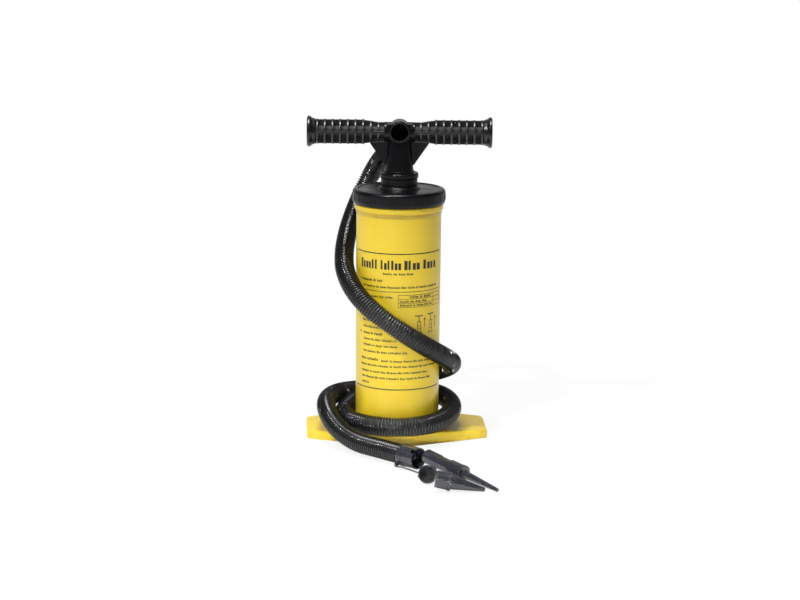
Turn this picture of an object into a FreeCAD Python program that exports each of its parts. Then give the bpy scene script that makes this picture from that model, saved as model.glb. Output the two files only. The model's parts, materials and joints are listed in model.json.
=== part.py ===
import FreeCAD, Part
import math
import os
from FreeCAD import Vector as V

# Double action hand pump, in millimetres. The origin is on the floor under the barrel's axis,
# X runs along the handle, Y points to the back of the pump, and Z points up.

# barrel
bore_r = 56.0
barrel_low_r = 58.9
barrel_top_r = 59.5
barrel_z0 = 6.0
barrel_floor_z = 14.0
step_z = 322.0
step_r = 60.3
bead_z0 = 327.0
bead_z1 = 335.4
bead_r = 62.0
mouth_r = 60.8
mouth_z = 350.0

# foot plate
wing_x = 128.0
wing_front_y = -24.0
wing_back_y = 68.5
nose_r = 66.5
nose_angle = 23.0
plate_top_z = 16.0
wing_tip_z = 10.0
skin = 3.0
seat_r = 59.4
seat_ring_r = 63.0
seat_ring_z = 18.5
seat_floor_z0 = 3.0
corner_r = 9.0
plate_turn = 3.0
rim_round = 2.5
wing_rib_xs = range(-110, 111, 22)
wing_rib_ys = (-40, 0, 36)
wing_rib_t = 2.0
wing_rib_z0 = 0.8
pad_r = 12.0
spoke_t = 2.4
base_screw_ring_r = 40.0
base_screw_angles = [45, 135, 225, 315]
base_screw_r = 1.55
base_screw_head_r = 3.6
base_screw_bite = 6.0

# cap and rod guide
cap_r = 65.0
cap_z0 = 335.9
cap_z1 = 356.0
cap_inner_r = 61.2
cap_plate_z = 352.0
cap_hole_r = 20.0
cap_step_r = 57.5
cap_sink = 0.9
grip_rib_count = 24
grip_rib_r = 1.5
grip_rib_turn = 2.5
collar_r = 26.9
collar_waist_r = 25.6
collar_foot_r = 29.4
collar_rim_z0 = 371.5
collar_z1 = 378.5
collar_spigot_z0 = 345.0
rod_gap_r = 13.0
nut_r = 27.0
nut_z0 = 346.0
nut_notch_r = 2.0
bush_r = 16.0
bush_z0 = 347.0
bush_z1 = 371.4
seal_z0 = 372.0
seal_z1 = 375.8
seal_r = 19.0
gasket_inner_r = 55.0
gasket_outer_r = 59.9

# rod
rod_r = 12.5
rod_inner_r = 10.5
air_r = 7.5
air_inner_r = 5.8
running = 0.05
slack = 0.05
rod_top_z = 415.0
air_top_z = 428.0
rod_screw_zs = (393, 408)
rod_screw_r = 1.1
rod_screw_head_r = 3.1
rod_screw_seat_y = 16.0

# piston
piston_r = 55.4
piston_wall = 3.4
low_plate_z = 21.0
plate_t = 4.0
split_z = 30.5
high_plate_z = 36.0
cage_t = 1.5
cage_r = 12.8
disc_r = 9.0
disc_t = 1.5
disc_lift = 2.0
port_r = 6.0
valve_ring_r = 30.0
post_ring_r = 10.8
post_r = 1.2
piston_seal_t = 3.0
piston_seal_inner_r = 53.0
piston_boss_r = 4.2
piston_bolt_r = 1.35
piston_bolt_head_r = 3.2
piston_bolt_ring_r = 44.0
piston_bolt_angles = [22.5, 112.5, 202.5, 292.5]
divider_t = 2.4
divider_angle = 45.0

# handle
neck_z0 = 379.0
neck_low_r = 20.0
neck_top_r = 14.8
grip_z = 434.6
grip_x0 = 21.05
grip_core_r = 8.4
stub_r = 6.0
stub_x1 = 60.0
grip_root_r = 13.6
grip_r = 17.5
grip_end_x = 128.6
flare_x0 = 117.0
flare_mid_x = 121.5
flare_mid_r = 18.9
flare_x1 = 125.0
flare_r = 21.5
web_t = 4.2
disc_pitch = 10.62
disc_first_x = 18.8
disc_count = 9
rib_t = 3.0
rib_round = 0.9
port_z = 436.4
hub_front_y = -20.0
hub_front_r = 15.4
hub_pipe_back_y = 12.0
hub_block_outline = [(12, 428), (12, 434), (18.4, 442), (18.4, 447.4)]
hub_block_y = (-13.0, 9.0)
hub_bar_r = 13.8
hub_bar_x = 21.0
hub_back_r = 14.6
hub_back = 24.0
outlet_tilt = 15.0
gusset_t = 5.0
gusset_outline = [(12, 384), (20.5, 389), (41.5, 419.5), (41.5, 428), (12, 428)]
port_ring_r = 14.0
port_bore_r = 12.0
intake_room_r = 13.0
port_front_y = -22.5
port_back_y = -11.0
intake_slot_angles = [-120, -90, -60]
outlet_r = 8.0

# hose
hose_r = 13.75
port_cuff_r = 15.0
port_spigot_r = 11.0
port_cuff_bore_r = 9.6
port_cuff_ridges = (32, 38, 44)
port_cuff_end = 50.0
hose_route = [
    (0, 48.6, 423.4), (0, 89, 412.4), (-14, 129, 395), (-36, 154, 362), (-56, 149, 322),
    (-68, 120, 293), (-74, 82, 276), (-77.5, 36, 258), (-75.5, -16, 238), (-55, -61, 210),
    (-14, -81, 180), (30, -76, 151), (66, -46, 125), (80.5, 2, 105), (67, 46, 86),
    (27, 74, 70), (-20, 77.5, 54), (-59, 53, 40), (-77.5, 9, 31.8), (-71.5, -36, 31),
    (-38, -71, 31), (6, -80.5, 31), (48, -66, 32), (75, -30, 37.5), (80, 14, 43),
    (64, 59, 46), (31, 93, 44.5), (-15, 106, 43), (-58, 91, 44), (-87, 58, 47.5),
    (-101, 14, 48), (-99.5, -32, 42), (-83.5, -72, 27), (-57, -103, 16), (-27, -131, 15.8),
    (12.4, -169.7, 15.8),
]

# tool end
cuff_r = 15.5
cuff_bore_r = 13.5
cuff_length = 24.5
cuff_back_t = 6.0
cuff_slot = 6.5
cuff_flange_t = 3.5
cuff_neck_r = 10.5
tether_ring_r = 15.4
tether_ring_t = 3.2
tether_tab_r = 20.5
tether_tab_drop = 35.0
strap_r = 1.1
strap_points = [(9, -188, 3.4), (22, -199, 2.2), (35, -215, 1.7), (45, -235, 1.7), (46, -243.2, 2.5)]
strap_ring_r = 9.0
nozzle_long_line = ((41, -197.1, 22.2), (134, -292.9, 2.6))
nozzle_long_outline = [
    (0, 0), (9.8, 0, 0.8), (9.8, 24, 0.5), (9.1, 24.6), (9.0, 44.5), (10.7, 45, 0.6), (11.0, 66, 0.3),
    (11.5, 66.5, 0.5), (11.5, 71, 0.8), (5.8, 71.6), (5.6, 74), (2.4, 134, 1.0), (0, 134),
]
nozzle_long_hollow = [(0, -1), (7.0, -1), (6.8, 50), (3.6, 76), (1.2, 120), (1.2, 138), (0, 138)]
nozzle_cone_line = ((52, -288, 16.6), (117, -292, 3.2))
nozzle_cone_outline = [
    (0, 0), (11.5, 0, 0.8), (11.5, 17, 0.2), (12.4, 17.4, 0.4), (12.4, 21, 0.8), (9.6, 21.4), (9.4, 24),
    (2.7, 66, 0.8), (0, 66),
]
nozzle_cone_hollow = [(0, -1), (9.4, -1), (9.4, 18), (1.5, 52), (1.5, 70), (0, 70)]
adapter_line = ((45.5, -245.1, 10.9), (40.7, -259.9, 14.45))
adapter_outline = [
    (0, -5), (5.5, -5, 0.6), (5.5, 0), (7.0, 0, 0.6), (12.4, 8, 1.5), (12.4, 16, 0.6), (0, 16),
]
adapter_hollow = [(0, 2.0), (5.4, 2.0), (10.6, 8.2), (10.6, 17), (0, 17)]


def cyl(r, z0, z1, x=0.0, y=0.0):
    return Part.makeCylinder(r, z1 - z0, V(x, y, z0))


def rod_between(r, a, b):
    a, b = V(*a), V(*b)
    return Part.makeCylinder(r, (b - a).Length, a, b - a)


def tube(r_out, r_in, z0, z1, x=0.0, y=0.0):
    return cyl(r_out, z0, z1, x, y).cut(cyl(r_in, z0 - 1, z1 + 1, x, y))


def box(x0, x1, y0, y1, z0, z1):
    return Part.makeBox(x1 - x0, y1 - y0, z1 - z0, V(x0, y0, z0))


def union(shapes):
    shapes = list(shapes)
    return shapes[0].multiFuse(shapes[1:]).removeSplitter()


def cut_all(shape, tools):
    for tool in tools:
        shape = shape.cut(tool)
    return shape


def on_circle(r, degrees):
    return r * math.cos(math.radians(degrees)), r * math.sin(math.radians(degrees))


def turned(outline):
    """A solid of revolution about Z from (radius, height) points. A third value rounds that corner."""
    edges = []
    count = len(outline)
    points = [V(p[0], 0, p[1]) for p in outline]
    ends = []
    for i, p in enumerate(outline):
        here = points[i]
        radius = p[2] if len(p) > 2 else 0
        if radius == 0:
            ends.append((here, None, here))
            continue
        back = (points[i - 1] - here).normalize()
        on = (points[(i + 1) % count] - here).normalize()
        half = back.getAngle(on) / 2
        reach = radius / math.tan(half)
        middle = here + (back + on).normalize() * (radius / math.sin(half) - radius)
        ends.append((here + back * reach, middle, here + on * reach))
    for i in range(count):
        start, middle, end = ends[i]
        if middle is not None:
            edges.append(Part.Arc(start, middle, end).toShape())
        following = ends[(i + 1) % count][0]
        if (following - end).Length > 1e-6:
            edges.append(Part.LineSegment(end, following).toShape())
    face = Part.Face(Part.Wire(edges))
    return face.revolve(V(0, 0, 0), V(0, 0, 1), 360)


def laid(shape, start, direction):
    """Moves a shape built along +Z from the origin so that it starts at a point and runs along a direction."""
    placed = shape.copy()
    placed.Placement = FreeCAD.Placement(V(*start), FreeCAD.Rotation(V(0, 0, 1), V(*direction)))
    return placed


def along_line(shape, line):
    """Moves a shape built along +Z from the origin so that it points from the line's start to its end."""
    start, end = line
    return laid(shape, start, V(*end) - V(*start))


# barrel and foot plate

def make_barrel():
    wall = turned([
        (0, barrel_z0), (barrel_low_r, barrel_z0, 1.5), (barrel_top_r, step_z), (step_r, step_z + 1),
        (step_r, bead_z0), (bead_r, bead_z0 + 1, 0.6), (bead_r, bead_z1, 1.6), (mouth_r, bead_z1),
        (mouth_r, mouth_z, 0.8), (bore_r, mouth_z), (bore_r, barrel_floor_z, 1.0), (0, barrel_floor_z),
    ])
    holes = [cyl(base_screw_r + slack, barrel_z0 - 1, barrel_z0 + base_screw_bite + 0.5,
                 *on_circle(base_screw_ring_r, a + plate_turn)) for a in base_screw_angles]
    return cut_all(wall, holes)


def plate_outline(inset):
    """The plate's outline seen from above: square wings, and a nose that follows the barrel."""
    x = wing_x - inset
    back = wing_back_y - inset
    r = nose_r - inset
    nx, ny = on_circle(r, -90 + nose_angle)
    slope = math.tan(math.radians(nose_angle))
    front = ny + (x - nx) * slope
    back_mid = back + 4
    edges = [
        Part.Arc(V(-nx, ny, 0), V(0, -r, 0), V(nx, ny, 0)).toShape(),
        Part.LineSegment(V(nx, ny, 0), V(x, front, 0)).toShape(),
        Part.LineSegment(V(x, front, 0), V(x, back, 0)).toShape(),
        Part.Arc(V(x, back, 0), V(0, back_mid, 0), V(-x, back, 0)).toShape(),
        Part.LineSegment(V(-x, back, 0), V(-x, front, 0)).toShape(),
        Part.LineSegment(V(-x, front, 0), V(-nx, ny, 0)).toShape(),
    ]
    return Part.Face(Part.Wire(edges))


def plate_block(inset, top, tip, z0):
    """The outline raised to its top, which slopes down over the wings."""
    block = plate_outline(inset).extrude(V(0, 0, top - z0))
    block.translate(V(0, 0, z0))
    flat_x = nose_r
    for side in (-1, 1):
        points = [V(side * flat_x, -200, top), V(side * (wing_x + 5), -200, tip),
                  V(side * (wing_x + 5), -200, top + 5), V(side * flat_x, -200, top + 5)]
        wedge = Part.Face(Part.makePolygon(points + points[:1])).extrude(V(0, 400, 0))
        block = block.cut(wedge)
    return block


def make_foot_plate():
    shell = plate_block(0, plate_top_z, wing_tip_z, 0)
    corners = [e for e in shell.Edges if len(e.Vertexes) == 2
               and abs(e.Vertexes[0].X - e.Vertexes[1].X) < 0.01
               and abs(e.Vertexes[0].Y - e.Vertexes[1].Y) < 0.01
               and abs(e.Vertexes[0].X) > 100]
    shell = shell.makeFillet(corner_r, corners)
    rim = [e for e in shell.Edges if min(v.Z for v in e.Vertexes) > 5
           and not (abs(e.Vertexes[0].X) < nose_r + 1 and abs(e.Vertexes[-1].X) < nose_r + 1
                    and abs(e.Vertexes[0].X - e.Vertexes[-1].X) < 0.01)]
    shell = shell.makeFillet(rim_round, rim)
    shell = shell.cut(plate_block(skin, plate_top_z - skin, wing_tip_z - skin, -1))
    inner = plate_block(skin - 0.5, plate_top_z - skin + 1, wing_tip_z - skin + 1, 0)
    half = wing_rib_t / 2
    ribs = [box(x - half, x + half, -nose_r, 100, wing_rib_z0, plate_top_z) for x in wing_rib_xs]
    ribs += [box(-wing_x, wing_x, y - half, y + half, wing_rib_z0, plate_top_z) for y in wing_rib_ys]
    grid = union(ribs).common(inner).cut(cyl(seat_r + 1, -1, 30))
    ring = tube(seat_ring_r, seat_r, 0, seat_ring_z)
    floor = cyl(seat_r + 0.5, seat_floor_z0, barrel_z0)
    pad = cyl(pad_r, 0, seat_floor_z0 + 0.5)
    half = spoke_t / 2
    spokes = [box(-seat_r - 1, seat_r + 1, -half, half, 0, seat_floor_z0 + 0.5),
              box(-half, half, -seat_r - 1, seat_r + 1, 0, seat_floor_z0 + 0.5)]
    plate = union([shell.cut(cyl(seat_r + 0.5, -1, 30)), grid, ring, floor, pad] + spokes)
    holes = [cyl(base_screw_r + 0.45, -1, 10, *on_circle(base_screw_ring_r, a))
             for a in base_screw_angles]
    plate = cut_all(plate, holes)
    plate.rotate(V(0, 0, 0), V(0, 0, 1), plate_turn)
    return plate


def cross_head(x, y, r, z0, z1):
    """A round screw head seen from below, with a crossed recess."""
    head = cyl(r, z0, z1, x, y)
    arm = 0.6 * r
    head = head.cut(box(x - 0.5, x + 0.5, y - arm, y + arm, z0 - 1, z1 - 1.1))
    return head.cut(box(x - arm, x + arm, y - 0.5, y + 0.5, z0 - 1, z1 - 1.1))


def make_base_screws():
    screws = []
    for a in base_screw_angles:
        x, y = on_circle(base_screw_ring_r, a + plate_turn)
        head = cross_head(x, y, base_screw_head_r, seat_floor_z0 - 2, seat_floor_z0)
        shank = cyl(base_screw_r, seat_floor_z0 - 0.5, barrel_z0 + base_screw_bite, x, y)
        screws.append(head.fuse(shank))
    return Part.makeCompound(screws)


# cap

def make_screw_cap():
    body = turned([
        (cap_hole_r, cap_plate_z), (cap_inner_r, cap_plate_z, 1.0), (cap_inner_r, cap_z0 + 0.1),
        (cap_r - 1.2, cap_z0, 0.8), (cap_r, cap_z0 + 4, 1.0), (cap_r, cap_z1 - 0.4, 4.6),
        (cap_step_r, cap_z1, 0.8), (cap_step_r - 1.0, cap_z1 - cap_sink, 0.8),
        (collar_r + 3.5, cap_z1 - cap_sink), (collar_r + 3.0, cap_z1 - 0.5), (cap_hole_r, cap_z1 - 0.5),
    ])
    ribs = []
    for i in range(grip_rib_count):
        x, y = on_circle(cap_r - 1.0, grip_rib_turn + i * 360 / grip_rib_count)
        ribs.append(cyl(grip_rib_r, cap_z0 + 4.5, cap_z1 - 6.5, x, y))
    return union([body] + ribs)


def make_rod_collar():
    """The raised collar, with a spigot down through the cap and seats for the bush and the seal."""
    body = turned([
        (rod_gap_r, cap_z1 - 0.5), (collar_foot_r, cap_z1 - 0.5), (collar_foot_r - 0.6, cap_z1 + 1.0),
        (collar_waist_r, cap_z1 + 3.4, 2.0), (collar_waist_r, collar_rim_z0 - 1.2, 0.8),
        (collar_r, collar_rim_z0, 0.8), (collar_r, collar_z1, 2.4), (rod_gap_r, collar_z1, 0.6),
    ])
    spigot = cyl(cap_hole_r - slack, collar_spigot_z0, cap_z1)
    below = collar_spigot_z0 - 1
    seats = [cyl(rod_gap_r, below, collar_z1 + 1), cyl(bush_r + slack, below, seal_z0 - 0.5),
             cyl(seal_r + slack, seal_z0 - 0.5, seal_z1 + 0.2)]
    return cut_all(union([body, spigot]), seats)


def make_collar_nut():
    """The ring under the cap that holds the collar, notched for a spanner."""
    ring = tube(nut_r, cap_hole_r + slack, nut_z0, cap_plate_z - 0.02)
    notches = [cyl(nut_notch_r, nut_z0 - 1, nut_z0 + 3, *on_circle(nut_r + 0.5, a))
               for a in range(0, 360, 60)]
    return cut_all(ring, notches)


def make_gasket():
    return tube(gasket_outer_r, gasket_inner_r, mouth_z, cap_plate_z)


def make_rod_bush():
    return tube(bush_r, rod_r + running, bush_z0, bush_z1)


def make_rod_seal():
    return turned([(rod_r + running, seal_z0), (seal_r, seal_z0, 0.5), (seal_r, seal_z1),
                   (rod_r + running, seal_z1)])


# piston

def make_piston_half(z0, z1, plate_z, groove_z):
    """Half of the valve box: a plate with a rim that has a groove for its seal."""
    rim = tube(piston_r, piston_r - piston_wall, z0, z1)
    plate = cyl(piston_r - 1, plate_z, plate_z + plate_t)
    bosses = [cyl(piston_boss_r, z0, z1, *on_circle(piston_bolt_ring_r, a)) for a in piston_bolt_angles]
    groove = tube(piston_r + 2, piston_seal_inner_r - 0.1, groove_z, groove_z + piston_seal_t)
    return union([rim, plate] + bosses).cut(groove)


def cage(x, y, post_z0, post_z1, ring_z):
    """Three posts and a ring that keep a loose valve disc near its port."""
    posts = []
    for a in (30, 150, 270):
        dx, dy = on_circle(post_ring_r, a)
        posts.append(cyl(post_r, post_z0, post_z1, x + dx, y + dy))
    return union(posts + [tube(cage_r, port_r, ring_z, ring_z + cage_t, x, y)])


valves = {
    "inlet_disc_upper": (-valve_ring_r, 0),
    "outlet_disc_upper": (valve_ring_r, 0),
    "inlet_disc_lower": (0, valve_ring_r),
    "outlet_disc_lower": (0, -valve_ring_r),
}
high_top = high_plate_z + plate_t
low_top = low_plate_z + plate_t
stroke_room = disc_t + disc_lift
disc_rest_z = {
    "inlet_disc_upper": high_top,
    "outlet_disc_upper": high_plate_z - stroke_room,
    "inlet_disc_lower": low_plate_z - stroke_room,
    "outlet_disc_lower": low_top,
}


def make_piston_top():
    half = make_piston_half(split_z, high_top, high_plate_z, high_top - 4.5)
    x, y = valves["inlet_disc_upper"]
    up = cage(x, y, high_top - 0.5, high_top + stroke_room + 0.5, high_top + stroke_room)
    x2, y2 = valves["outlet_disc_upper"]
    down = cage(x2, y2, high_plate_z - stroke_room - 0.5, high_plate_z + 0.5,
                high_plate_z - stroke_room - cage_t)
    half = union([half, up, down])
    holes = [cyl(port_r, high_plate_z - 1, high_top + 1, x, y),
             cyl(port_r, high_plate_z - 1, high_top + 1, x2, y2),
             cyl(rod_r + slack, high_plate_z - 1, high_top + 1)]
    holes += [cyl(piston_bolt_r + slack, split_z - 1, high_top - 1.5, *on_circle(piston_bolt_ring_r, a))
              for a in piston_bolt_angles]
    return cut_all(half, holes)


def make_piston_bottom():
    half = make_piston_half(low_plate_z, split_z, low_plate_z, low_plate_z + 1.5)
    x, y = valves["inlet_disc_lower"]
    down = cage(x, y, low_plate_z - stroke_room - 0.5, low_plate_z + 0.5, low_plate_z - stroke_room - cage_t)
    x2, y2 = valves["outlet_disc_lower"]
    up = cage(x2, y2, low_top - 0.5, low_top + stroke_room + 0.5, low_top + stroke_room)
    half = union([half, down, up])
    holes = [cyl(port_r, low_plate_z - 1, low_top + 1, x, y),
             cyl(port_r, low_plate_z - 1, low_top + 1, x2, y2)]
    holes += [cyl(piston_bolt_r + 0.45, low_plate_z - 1, split_z + 1, *on_circle(piston_bolt_ring_r, a))
              for a in piston_bolt_angles]
    return cut_all(half, holes)


def make_piston_screws():
    screws = []
    for a in piston_bolt_angles:
        x, y = on_circle(piston_bolt_ring_r, a)
        head = cross_head(x, y, piston_bolt_head_r, low_plate_z - 2, low_plate_z)
        shank = cyl(piston_bolt_r, low_plate_z - 0.5, high_top - 2, x, y)
        screws.append(head.fuse(shank))
    return Part.makeCompound(screws)


def make_piston_seals():
    height = piston_seal_t - 0.2
    rings = [tube(bore_r - running, piston_seal_inner_r, z, z + height)
             for z in (low_plate_z + 1.6, high_top - 4.4)]
    return Part.makeCompound(rings)


def make_air_divider():
    """A wall across the valve box: intake air on one side, outlet air on the other, tubes in its middle."""
    z0, z1 = low_top + 0.1, high_plate_z - 0.1
    seat = z0 + 3
    reach = piston_r - piston_wall - 0.3
    wall = box(-reach, reach, -divider_t / 2, divider_t / 2, z0, z1)
    hub = cyl(rod_inner_r - 0.1, z0, z1)
    block = wall.fuse(hub).common(cyl(reach, z0 - 1, z1 + 1))
    bore = cyl(air_r + slack, seat, z1 + 1)
    intake_side = box(-14, 14, divider_t / 2, 18, seat, z1 + 1).common(tube(12, air_r, seat, z1 + 1))
    outlet_side = box(0, 14, -18, -2.0, seat, z1 - 4).common(cyl(12, z0, z1))
    block = cut_all(block, [bore, intake_side, outlet_side])
    block.rotate(V(0, 0, 0), V(0, 0, 1), divider_angle)
    return block


def make_disc():
    return cyl(disc_r, 0, disc_t - 0.02)


# rod and handle

def make_rod_tube():
    rod = tube(rod_r, rod_inner_r, high_plate_z + 0.05, rod_top_z)
    return cut_all(rod, [rod_between(rod_screw_r + 0.1, (0, 5, z), (0, 20, z)) for z in rod_screw_zs])


def make_air_tube():
    return tube(air_r, air_inner_r, low_top + 3.2, air_top_z)


def along_grip(side, r, x0, x1, r1=None):
    """A cylinder, or a cone where a second radius is given, on the grips' axis."""
    start = V(side * x0, 0, grip_z)
    axis = V(side, 0, 0)
    if r1 is None:
        return Part.makeCylinder(r, x1 - x0, start, axis)
    return Part.makeCone(r, r1, x1 - x0, start, axis)


def grip_envelope(side, r, gap):
    """The room that a grip's webs fill: narrow at the hub, and full from where the hand holds it."""
    root = grip_root_r + gap
    return union([along_grip(side, root, grip_x0 - gap, 30), along_grip(side, root, 30, 52, r + gap),
                  along_grip(side, r + gap, 52, 124)])


def make_grip(side):
    """A ribbed grip: crossed webs, round ribs that shrink towards the hub, and a flared end."""
    web_x0, web_x1 = sorted((side * grip_x0, side * (flare_x1 - 1)))
    reach = grip_r + 5
    half = web_t / 2
    webs = box(web_x0, web_x1, -half, half, grip_z - reach, grip_z + reach)
    webs = webs.fuse(box(web_x0, web_x1, -reach, reach, grip_z - half, grip_z + half))
    webs = webs.common(grip_envelope(side, grip_r - 0.8, 0))
    pieces = [along_grip(side, grip_core_r, grip_x0, flare_x1), webs]
    for k in range(1, disc_count + 1):
        x = disc_first_x + disc_pitch * k
        r = min(grip_r, grip_root_r - 0.4 + max(0.0, x - 28) * 0.19)
        rib = along_grip(side, r, x - rib_t / 2, x + rib_t / 2)
        pieces.append(rib.makeFillet(rib_round, [e for e in rib.Edges if len(e.Vertexes) == 1]))
    lip_x = grip_end_x - 1.5
    flare = union([along_grip(side, grip_r, flare_x0, flare_mid_x, flare_mid_r),
                   along_grip(side, flare_mid_r, flare_mid_x, flare_x1, flare_r),
                   along_grip(side, flare_r, flare_x1, lip_x),
                   along_grip(side, flare_r, lip_x, grip_end_x, flare_r - 1.5)])
    pieces.append(flare.cut(along_grip(side, flare_r - 4.0, lip_x - 1, grip_end_x + 1)))
    return union(pieces).cut(along_grip(side, stub_r + slack, grip_x0 - 1, stub_x1 + 1))


def outlet_point(distance):
    """A point on the outlet's axis, which leaves the hub towards the back and slopes down."""
    tilt = math.radians(outlet_tilt)
    return 0, distance * math.cos(tilt), port_z - distance * math.sin(tilt)


def along_outlet(r, start, end):
    return rod_between(r, outlet_point(start), outlet_point(end))


def make_handle_hub():
    """The neck and its gussets, the two ports' pipes, and the bar that carries the grips on stubs."""
    neck = Part.makeCone(neck_low_r, neck_top_r, port_z - neck_z0, V(0, 0, neck_z0))
    foot = cyl(neck_low_r + 0.8, neck_z0, neck_z0 + 2)
    front = rod_between(hub_front_r, (0, hub_front_y, port_z), (0, hub_pipe_back_y, port_z))
    front = front.makeFillet(1.2, [e for e in front.Edges if len(e.Vertexes) == 1])
    block_y0, block_y1 = hub_block_y
    points = [V(x, block_y0, z) for x, z in hub_block_outline]
    points += [V(-x, block_y0, z) for x, z in reversed(hub_block_outline)]
    block = Part.Face(Part.makePolygon(points + points[:1])).extrude(V(0, block_y1 - block_y0, 0))
    top = hub_block_outline[-1][1]
    block = block.makeFillet(1.2, [e for e in block.Edges if min(v.Z for v in e.Vertexes) > top - 0.1])
    back = along_outlet(hub_back_r, 0, hub_back)
    bar = rod_between(hub_bar_r, (-hub_bar_x, 0, grip_z), (hub_bar_x, 0, grip_z))
    gussets = []
    for side in (-1, 1):
        points = [V(side * x, -gusset_t / 2, z) for x, z in gusset_outline]
        gusset = Part.Face(Part.makePolygon(points + points[:1])).extrude(V(0, gusset_t, 0))
        room = grip_envelope(side, grip_r - 0.8, 0.55)
        gussets.append(gusset.cut(room))
    stubs = [rod_between(stub_r, (side * 15, 0, grip_z), (side * stub_x1, 0, grip_z)) for side in (-1, 1)]
    body = union([neck, foot, front, block, back, bar] + gussets + stubs)
    tools = [
        cyl(rod_r + slack, neck_z0 - 1, rod_top_z),
        cyl(rod_inner_r, rod_top_z - 1, rod_top_z + 2),
        cyl(air_r + slack, rod_top_z, air_top_z),
        cyl(air_inner_r, air_top_z - 1, port_z),
        rod_between(port_ring_r + slack, (0, hub_front_y - 1, port_z), (0, port_back_y, port_z)),
        rod_between(intake_room_r, (0, port_back_y - 1, port_z), (0, port_back_y + 2.6, port_z)),
        along_outlet(outlet_r, -3, 14),
        along_outlet(port_spigot_r + slack, 13, hub_back + 1),
    ]
    for a in intake_slot_angles:
        x, y = on_circle((air_r + rod_inner_r) / 2, a)
        tools.append(cyl(1.3, rod_top_z, port_z - 8, x, y))
    for z in rod_screw_zs:
        tools.append(rod_between(rod_screw_r + 0.5, (0, 10, z), (0, 25, z)))
        tools.append(rod_between(rod_screw_head_r + 0.3, (0, rod_screw_seat_y, z), (0, 25, z)))
    return cut_all(body, tools)


def make_rod_screws():
    screws = []
    for z in rod_screw_zs:
        seat = rod_screw_seat_y + 0.1
        head = rod_between(rod_screw_head_r, (0, seat, z), (0, seat + 1.7, z))
        shank = rod_between(rod_screw_r, (0, rod_inner_r + 0.4, z), (0, seat + 0.5, z))
        slot = box(-0.4, 0.4, seat + 0.9, seat + 3, z - 2.4, z + 2.4)
        screws.append(head.fuse(shank).cut(slot))
    return Part.makeCompound(screws)


def make_intake_port():
    ring = rod_between(port_ring_r, (0, port_front_y, port_z), (0, port_back_y - 0.1, port_z))
    ring = ring.makeFillet(0.9, [e for e in ring.Edges if abs(e.BoundBox.YMax - port_front_y) < 0.01])
    return ring.cut(rod_between(port_bore_r, (0, port_front_y - 1, port_z), (0, 0, port_z)))


def make_port_cuff():
    body = [along_outlet(port_spigot_r, 13.3, hub_back + 6),
            along_outlet(port_cuff_r + 1.4, hub_back + 0.05, hub_back + 4),
            along_outlet(port_cuff_r, hub_back + 3, port_cuff_end)]
    ridges = [along_outlet(port_cuff_r + 0.8, t, t + 2) for t in port_cuff_ridges]
    return union(body + ridges).cut(along_outlet(port_cuff_bore_r, 0, port_cuff_end + 10))


# hose and tool end

def route_wire(points):
    """Straight runs joined by tangent arcs, each as large as its two runs allow."""
    pts = [V(*p) for p in points]
    edges = []
    radii = []
    last = pts[0]
    for before, here, after in zip(pts, pts[1:], pts[2:]):
        back = (before - here).normalize()
        on = (after - here).normalize()
        reach = 0.45 * min((before - here).Length, (after - here).Length)
        half_turn = (math.pi - back.getAngle(on)) / 2
        radius = reach / math.tan(half_turn)
        radii.append(round(radius, 1))
        start = here + back * reach
        end = here + on * reach
        inward = (back + on).normalize()
        centre_far = radius / math.cos(half_turn)
        middle = here + inward * (centre_far - radius)
        edges.append(Part.LineSegment(last, start).toShape())
        edges.append(Part.Arc(start, middle, end).toShape())
        last = end
    edges.append(Part.LineSegment(last, pts[-1]).toShape())
    print("smallest hose bend", min(radii))
    return Part.Wire(edges)


def make_hose():
    wire = route_wire(hose_route)
    start = V(*hose_route[0])
    along = V(*hose_route[1]) - start
    ring = Part.Face(Part.Wire(Part.makeCircle(hose_r, start, along)))
    solid = wire.makePipe(ring)
    ratio = solid.Volume / (math.pi * hose_r ** 2 * wire.Length)
    print("hose length", round(wire.Length, 1), "volume over section x length", round(ratio, 4))
    return solid


tool_end = V(*hose_route[-1])
tool_way = (tool_end - V(*hose_route[-2])).normalize()
tool_flat = V(tool_way.x, tool_way.y, 0).normalize()
tool_up = math.degrees(math.atan2(-tool_flat.y, -tool_flat.x)) - 90


def make_tool_cuff():
    """The socket for the fittings, with a slot in its mouth for their lug."""
    body = union([cyl(cuff_r, 0, cuff_flange_t), cyl(cuff_r - 0.7, cuff_flange_t - 0.5, cuff_length)])
    mouth = cyl(cuff_bore_r, cuff_back_t, cuff_length + 1)
    neck = cyl(cuff_neck_r, -1, cuff_back_t + 1)
    slot = box(-3, 3, 0, 20, cuff_length - cuff_slot, cuff_length + 1)
    slot.rotate(V(0, 0, 0), V(0, 0, 1), tool_up + 40)
    return laid(cut_all(body, [mouth, neck, slot]), tool_end, tool_flat)


def make_tether_ring():
    """A ring on the hose next to the cuff, with a tab low at its side that the strap hangs from."""
    ring = tube(tether_ring_r, hose_r + 0.2, 0, tether_ring_t)
    tab = box(-2.5, 2.5, tether_ring_r - 0.8, tether_tab_r, 0, tether_ring_t)
    tab.rotate(V(0, 0, 0), V(0, 0, 1), tool_up + 90 + tether_tab_drop)
    return laid(union([ring, tab]), tool_end - tool_flat * 4.0, tool_flat)


def make_tether_strap():
    """A round strap from the ring's tab to a ring round the adapter's boss."""
    drop = math.radians(tether_tab_drop)
    side = V(tool_flat.y, -tool_flat.x, 0)
    tab = tool_end - tool_flat * 2.4 + (side * math.cos(drop) - V(0, 0, math.sin(drop))) * (tether_tab_r + 1.4)
    points = [tab] + [V(*p) for p in strap_points]
    curve = Part.BSplineCurve()
    curve.interpolate(points)
    ring = Part.Face(Part.Wire(Part.makeCircle(strap_r, points[0], curve.tangent(0)[0])))
    cord = Part.Wire(curve.toShape()).makePipe(ring)
    return union([cord, along_line(tube(strap_ring_r, 5.7, -4.2, -2.2), adapter_line)])


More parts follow.
